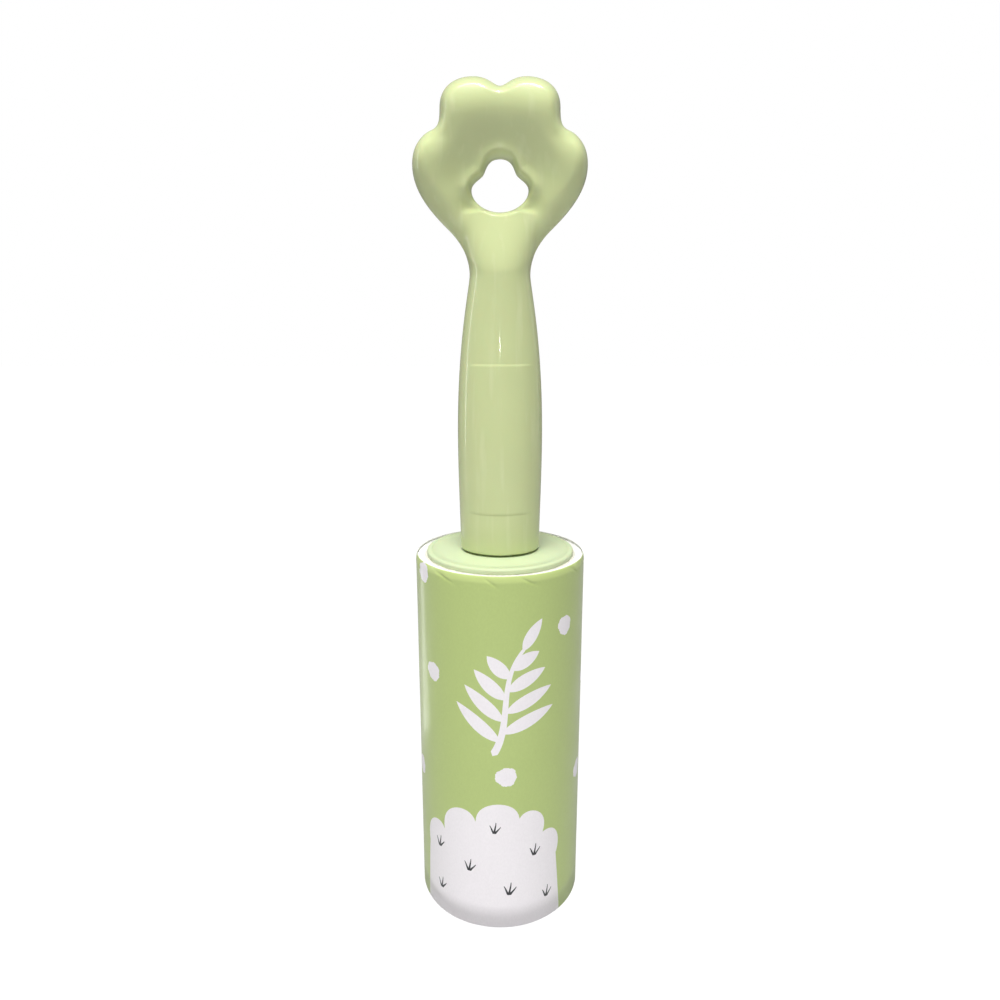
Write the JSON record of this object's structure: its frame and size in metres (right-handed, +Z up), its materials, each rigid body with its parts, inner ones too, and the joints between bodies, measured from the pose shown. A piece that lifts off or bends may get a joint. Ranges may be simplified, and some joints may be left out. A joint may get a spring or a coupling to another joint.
{
  "type": "lint roller",
  "caption": "Upright lint roller with a paw-shaped handle, a hanging hole, a free-turning ribbed drum and a slide-off refill of sticky sheets in a printed wrapper.",
  "frame": {"origin": "centre of the lower end of the roll, on the surface it stands on", "axes": "+Z up along the roller's axis towards the paw, front of the handle towards -Y, +X to the right seen from the front"},
  "size_m": [0.0454, 0.0454, 0.2173],
  "materials": {
    "handle_plastic": "gloss",
    "flange_plastic": "gloss",
    "spindle_plastic": "satin",
    "cage_plastic": "satin",
    "screw_steel": "bright",
    "card": "matt",
    "sticky_paper": "matt",
    "wrapper_print": "gloss print"
  },
  "bodies": {
    "handle": {"handle_front_shell": "handle_plastic", "handle_rear_shell": "handle_plastic", "shell_screws": "screw_steel", "spindle": "spindle_plastic", "thrust_washer": "spindle_plastic", "retaining_washer": "screw_steel", "retaining_screw": "screw_steel"},
    "drum": {"drum_flange": "flange_plastic", "drum_cage": "cage_plastic", "drum_hub": "cage_plastic", "end_cap": "flange_plastic"},
    "refill": {"core_tube": "card", "sheet_roll": "sticky_paper", "printed_wrapper": "wrapper_print"}
  },
  "joints": [
    {"name": "drum_spin", "type": "hinge", "parent": "handle", "child": "drum", "pos_m": [0, 0, 0.05], "axis": [0, 0, 1], "continuous": true},
    {"name": "refill_slide", "type": "slide", "parent": "drum", "child": "refill", "axis": [0, 0, -1], "range_m": [0, 0.112]}
  ]
}
